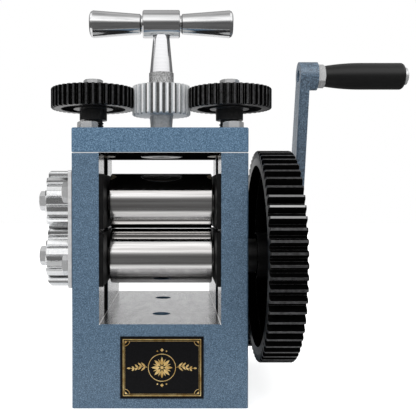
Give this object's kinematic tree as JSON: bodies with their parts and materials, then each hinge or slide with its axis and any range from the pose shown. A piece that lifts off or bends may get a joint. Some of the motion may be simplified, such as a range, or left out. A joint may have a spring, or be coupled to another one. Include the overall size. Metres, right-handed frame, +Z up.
{
  "type": "jewellers rolling mill",
  "caption": "Hand-cranked bench rolling mill with two flat steel rolls, a geared T-handle screwdown and a reduction gear on the crank side.",
  "frame": {"origin": "midway between the two bench-bolt holes, on the underside of the base", "axes": "+X towards the crank, -Y to the front where the work is fed in, +Z up"},
  "size_m": [0.2946, 0.1975, 0.2898],
  "materials": {
    "frame_paint": "fine hammertone paint",
    "roll_steel": "mirror ground",
    "pinion_steel": "bright machined",
    "zinc_fastener": "zinc plated",
    "keeper_steel": "ground plate",
    "black_gear": "oiled black",
    "black_block": "blackened",
    "bronze": "turned bronze",
    "chrome": "polished",
    "dark_steel": "black oxide",
    "shaft_steel": "turned",
    "spring_steel": "drawn wire",
    "grip_black": "moulded"
  },
  "bodies": {
    "frame": {"frame_casting": "frame_paint", "top_plate": "frame_paint", "plate_bolts": "zinc_fastener", "left_screw_nut": "bronze", "right_screw_nut": "bronze", "spindle_bush": "bronze", "keeper_plate": "keeper_steel", "keeper_bolts": "zinc_fastener", "lower_left_block": "black_block", "lower_right_block": "black_block", "lower_left_bush": "bronze", "lower_right_bush": "bronze", "drive_bush_inner": "bronze", "drive_bush_outer": "bronze", "left_lift_spring": "spring_steel", "right_lift_spring": "spring_steel"},
    "upper_blocks": {"upper_left_block": "black_block", "upper_right_block": "black_block", "upper_left_bush": "bronze", "upper_right_bush": "bronze", "left_thrust_pad": "shaft_steel", "right_thrust_pad": "shaft_steel"},
    "upper_roll_set": {"upper_roll": "roll_steel", "upper_roll_pinion": "pinion_steel", "upper_pinion_key": "shaft_steel", "upper_pinion_bolt": "zinc_fastener"},
    "lower_roll_set": {"lower_roll": "roll_steel", "lower_roll_pinion": "pinion_steel", "lower_pinion_key": "shaft_steel", "lower_pinion_bolt": "zinc_fastener", "big_gear": "black_gear", "big_gear_key": "shaft_steel", "big_gear_bolt": "zinc_fastener"},
    "crank_set": {"drive_shaft": "shaft_steel", "drive_pinion": "black_gear", "drive_pinion_key": "shaft_steel", "shaft_collar": "dark_steel", "crank_arm": "frame_paint", "crank_screw": "zinc_fastener", "grip_spindle": "zinc_fastener", "grip_lock_nut": "zinc_fastener"},
    "grip": {"handle_grip": "grip_black"},
    "t_handle": {"spindle": "chrome", "spindle_sleeve": "chrome", "spindle_pinion": "pinion_steel", "t_bar": "chrome", "spindle_ring": "shaft_steel", "spindle_end_screw": "dark_steel"},
    "left_screw_set": {"left_screw": "dark_steel", "left_screw_gear": "black_gear", "left_screw_bolt": "zinc_fastener"},
    "right_screw_set": {"right_screw": "dark_steel", "right_screw_gear": "black_gear", "right_screw_bolt": "zinc_fastener"}
  },
  "joints": [
    {"name": "lower_roll_turn", "type": "hinge", "parent": "frame", "child": "lower_roll_set", "pos_m": [0, -0.035, 0.1028], "axis": [1, 0, 0], "continuous": true},
    {"name": "crank_turn", "type": "hinge", "parent": "frame", "child": "crank_set", "pos_m": [0, 0.03914, 0.03925], "axis": [1, 0, 0], "continuous": true},
    {"name": "grip_spin", "type": "hinge", "parent": "crank_set", "child": "grip", "pos_m": [0.13365, 0.0062, 0.24726], "axis": [1, 0, 0], "continuous": true},
    {"name": "t_handle_turn", "type": "hinge", "parent": "frame", "child": "t_handle", "pos_m": [0, -0.035, 0.196], "axis": [0, 0, 1], "range_deg": [-1050, 25]},
    {"name": "block_travel", "type": "slide", "parent": "frame", "child": "upper_blocks", "axis": [0, 0, 1], "range_m": [-0.00009, 0.0039], "deforming": ["left_lift_spring", "right_lift_spring"]},
    {"name": "upper_roll_turn", "type": "hinge", "parent": "upper_blocks", "child": "upper_roll_set", "pos_m": [0, -0.035, 0.14465], "axis": [1, 0, 0], "continuous": true},
    {"name": "left_screw_turn", "type": "hinge", "parent": "upper_blocks", "child": "left_screw_set", "pos_m": [-0.052, -0.035, 0.1638], "axis": [0, 0, 1], "range_deg": [-18, 718]},
    {"name": "right_screw_turn", "type": "hinge", "parent": "upper_blocks", "child": "right_screw_set", "pos_m": [0.052, -0.035, 0.1638], "axis": [0, 0, 1], "range_deg": [-18, 718]}
  ],
  "couplings": [
    {"joint": "crank_turn", "follows": "lower_roll_turn", "ratio": -3.875},
    {"joint": "upper_roll_turn", "follows": "lower_roll_turn", "ratio": -1},
    {"joint": "t_handle_turn", "follows": "block_travel", "rad_per_m": -4600.2},
    {"joint": "left_screw_turn", "follows": "block_travel", "rad_per_m": 3141.6},
    {"joint": "right_screw_turn", "follows": "block_travel", "rad_per_m": 3141.6}
  ]
}
